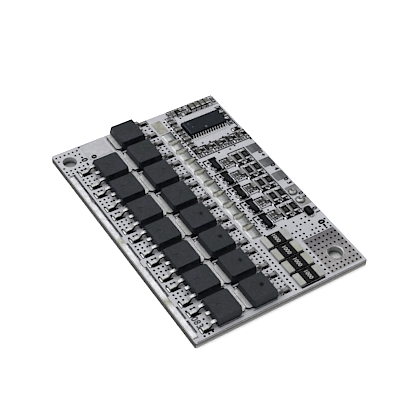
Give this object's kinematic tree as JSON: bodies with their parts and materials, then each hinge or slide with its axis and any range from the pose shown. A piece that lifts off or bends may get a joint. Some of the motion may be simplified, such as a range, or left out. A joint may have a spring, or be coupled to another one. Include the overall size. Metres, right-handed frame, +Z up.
{
  "type": "battery management board",
  "caption": "Flat battery protection and balancing board: white solder mask, rows of power transistors, shunt resistors, a controller chip, cell pads and mounting holes.",
  "frame": {"origin": "centre of the board's underside", "axes": "+X along the short side towards the cell pads, +Y along the long side away from the shunt resistors' end, +Z up out of the component side"},
  "size_m": [0.043, 0.0602, 0.0039],
  "materials": {
    "mask_white": "satin white solder mask over laminate",
    "moulding_black": "moulded epoxy, matte",
    "tinned_copper": "tin plating, satin",
    "solder": "reflowed solder, semi-gloss",
    "tinned_pad": "tinned copper, dull",
    "cap_metal": "plated end cap, satin",
    "resistor_black": "glass glaze over ceramic",
    "capacitor_tan": "fired ceramic, matte"
  },
  "bodies": {
    "root": {"balance_resistor_bodies": "resistor_black", "balance_resistor_caps": "cap_metal", "balance_transistor_bodies": "moulding_black", "balance_transistor_leads": "tinned_copper", "bus_end_pad": "tinned_pad", "cell_pad_solder": "solder", "cell_pads": "tinned_pad", "chip_capacitor_bodies": "capacitor_tan", "chip_capacitor_caps": "cap_metal", "chip_resistor_bodies": "resistor_black", "chip_resistor_caps": "cap_metal", "circuit_board": "mask_white", "controller_chip_body": "moulding_black", "controller_chip_leads": "tinned_copper", "diode_body": "moulding_black", "diode_terminals": "tinned_copper", "drain_solder_lands": "solder", "input_capacitor_bodies": "capacitor_tan", "input_capacitor_caps": "cap_metal", "lead_solder_joints": "solder", "left_solder_bar": "solder", "mosfet_left_1_body": "moulding_black", "mosfet_left_1_leads": "tinned_copper", "mosfet_left_2_body": "moulding_black", "mosfet_left_2_leads": "tinned_copper", "mosfet_left_3_body": "moulding_black", "mosfet_left_3_leads": "tinned_copper", "mosfet_left_4_body": "moulding_black", "mosfet_left_4_leads": "tinned_copper", "mosfet_left_5_body": "moulding_black", "mosfet_left_5_leads": "tinned_copper", "mosfet_left_6_body": "moulding_black", "mosfet_left_6_leads": "tinned_copper", "mosfet_left_7_body": "moulding_black", "mosfet_left_7_leads": "tinned_copper", "mosfet_right_1_body": "moulding_black", "mosfet_right_1_leads": "tinned_copper", "mosfet_right_2_body": "moulding_black", "mosfet_right_2_leads": "tinned_copper", "mosfet_right_3_body": "moulding_black", "mosfet_right_3_leads": "tinned_copper", "mosfet_right_4_body": "moulding_black", "mosfet_right_4_leads": "tinned_copper", "mosfet_right_5_body": "moulding_black", "mosfet_right_5_leads": "tinned_copper", "mosfet_right_6_body": "moulding_black", "mosfet_right_6_leads": "tinned_copper", "mosfet_right_7_body": "moulding_black", "mosfet_right_7_leads": "tinned_copper", "mosfet_right_8_body": "moulding_black", "mosfet_right_8_leads": "tinned_copper", "negative_pad": "tinned_pad", "output_pad": "tinned_pad", "shunt_end_caps": "cap_metal", "shunt_resistor_1": "resistor_black", "shunt_resistor_2": "resistor_black", "shunt_resistor_3": "resistor_black", "shunt_resistor_4": "resistor_black", "solder_bus": "solder"}
  },
  "joints": []
}
